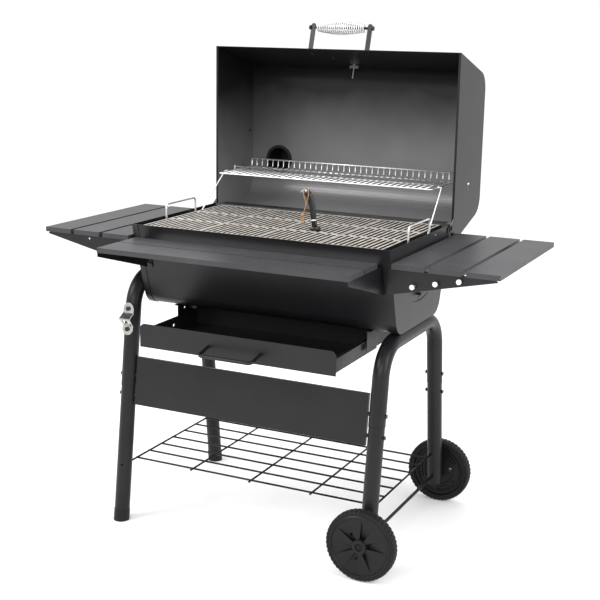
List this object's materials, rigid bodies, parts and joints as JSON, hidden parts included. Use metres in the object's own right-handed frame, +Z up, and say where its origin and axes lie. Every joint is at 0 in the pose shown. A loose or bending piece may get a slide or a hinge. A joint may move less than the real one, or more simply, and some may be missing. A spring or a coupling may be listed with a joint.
{
  "type": "barrel charcoal grill",
  "caption": "Trough-shaped charcoal grill on a wheeled tube stand, with a hinged lid, linked warming rack, lift-out grates, side shelves and a pull-out ash drawer.",
  "frame": {"origin": "centre of the footprint at ground level, with the lid open and the drawer partly out", "axes": "+X to the right seen from the front, +Y to the back, +Z up"},
  "size_m": [1.423, 1.073, 1.5057],
  "materials": {
    "leg_paint": "semi-gloss",
    "body_paint": "satin",
    "lid_paint": "satin",
    "shelf_paint": "satin",
    "rack_paint": "semi-gloss",
    "bolt_steel": "satin",
    "grate_iron": "matt enamel",
    "bright_wire": "polished",
    "brushed_fitting": "brushed",
    "wheel_plastic": "matt",
    "tyre_rubber": "matt",
    "cap_plastic": "matt",
    "lifter_paint": "semi-gloss",
    "lanyard_leather": "smooth"
  },
  "bodies": {
    "stand": {"leg_frame_left": "leg_paint", "leg_frame_right": "leg_paint", "lower_leg_front_left": "leg_paint", "lower_leg_rear_left": "leg_paint", "lower_leg_front_right": "leg_paint", "lower_leg_rear_right": "leg_paint", "foot_caps": "cap_plastic", "leg_bolts": "bolt_steel", "front_panel": "body_paint", "bottom_rack": "rack_paint", "axle": "bright_wire", "firebox_shell": "body_paint", "firebox_end_left": "body_paint", "firebox_end_right": "body_paint", "grate_rests": "body_paint", "cooking_grate_1": "grate_iron", "cooking_grate_2": "grate_iron", "cooking_grate_3": "grate_iron", "cooking_grate_4": "grate_iron", "front_slat_outer": "shelf_paint", "front_slat_inner": "shelf_paint", "front_shelf_brackets": "body_paint", "left_slat_1": "shelf_paint", "left_slat_2": "shelf_paint", "left_slat_3": "shelf_paint", "right_slat_1": "shelf_paint", "right_slat_2": "shelf_paint", "right_slat_3": "shelf_paint", "left_shelf_frame": "body_paint", "right_shelf_frame": "body_paint", "tool_pegs": "bright_wire", "bottle_opener": "brushed_fitting", "frame_bolts": "bolt_steel", "drawer_housing": "body_paint", "hinge_brackets": "body_paint", "lifter_tool": "lifter_paint", "lanyard_strand_a": "lanyard_leather", "lanyard_strand_b": "lanyard_leather", "lanyard_knot": "lanyard_leather"},
    "lid": {"lid_shell": "lid_paint", "lid_end_left": "lid_paint", "lid_end_right": "lid_paint", "handle_frame": "body_paint", "handle_spring": "bright_wire", "thermometer": "bright_wire", "chimney": "body_paint", "lid_bolts": "bolt_steel"},
    "chimney_cap": {"chimney_cap": "body_paint"},
    "rack_legs": {"rack_legs": "bright_wire"},
    "warming_rack": {"warming_rack": "bright_wire"},
    "ash_drawer": {"ash_drawer": "body_paint", "drawer_front": "body_paint", "drawer_handle": "body_paint"},
    "charcoal_tray": {"charcoal_tray": "body_paint", "tray_handles": "bright_wire"},
    "air_damper": {"air_damper": "body_paint"},
    "wheel_front": {"wheel_front": "wheel_plastic", "tyre_front": "tyre_rubber"},
    "wheel_rear": {"wheel_rear": "wheel_plastic", "tyre_rear": "tyre_rubber"}
  },
  "joints": [
    {"name": "lid_hinge", "type": "hinge", "parent": "stand", "child": "lid", "pos_m": [0, 0.17055, 0.903], "axis": [1, 0, 0], "range_deg": [0, 90]},
    {"name": "chimney_cap_pivot", "type": "hinge", "parent": "lid", "child": "chimney_cap", "pos_m": [-0.26, 0.53055, 1.04], "axis": [0, 1, 0], "range_deg": [0, 110]},
    {"name": "rack_leg_hinge", "type": "hinge", "parent": "stand", "child": "rack_legs", "pos_m": [0, 0.03455, 0.903], "axis": [1, 0, 0], "range_deg": [0, 90]},
    {"name": "rack_hinge", "type": "hinge", "parent": "rack_legs", "child": "warming_rack", "pos_m": [0, 0.17155, 1.022], "axis": [1, 0, 0], "range_deg": [-90, 0]},
    {"name": "ash_drawer_slide", "type": "slide", "parent": "stand", "child": "ash_drawer", "axis": [0, -1, 0], "range_m": [-0.195, 0.05]},
    {"name": "charcoal_tray_lift", "type": "slide", "parent": "stand", "child": "charcoal_tray", "axis": [0, 0, 1], "range_m": [0, 0.04]},
    {"name": "air_damper_slide", "type": "slide", "parent": "stand", "child": "air_damper", "axis": [0, 0, 1], "range_m": [-0.01, 0.0015]},
    {"name": "wheel_front_spin", "type": "hinge", "parent": "stand", "child": "wheel_front", "pos_m": [0.382, -0.40145, 0.102], "axis": [0, 1, 0], "continuous": true},
    {"name": "wheel_rear_spin", "type": "hinge", "parent": "stand", "child": "wheel_rear", "pos_m": [0.382, 0.24655, 0.102], "axis": [0, 1, 0], "continuous": true}
  ],
  "couplings": [
    {"joint": "rack_leg_hinge", "follows": "lid_hinge", "ratio": 1},
    {"joint": "rack_hinge", "follows": "lid_hinge", "ratio": -1}
  ]
}
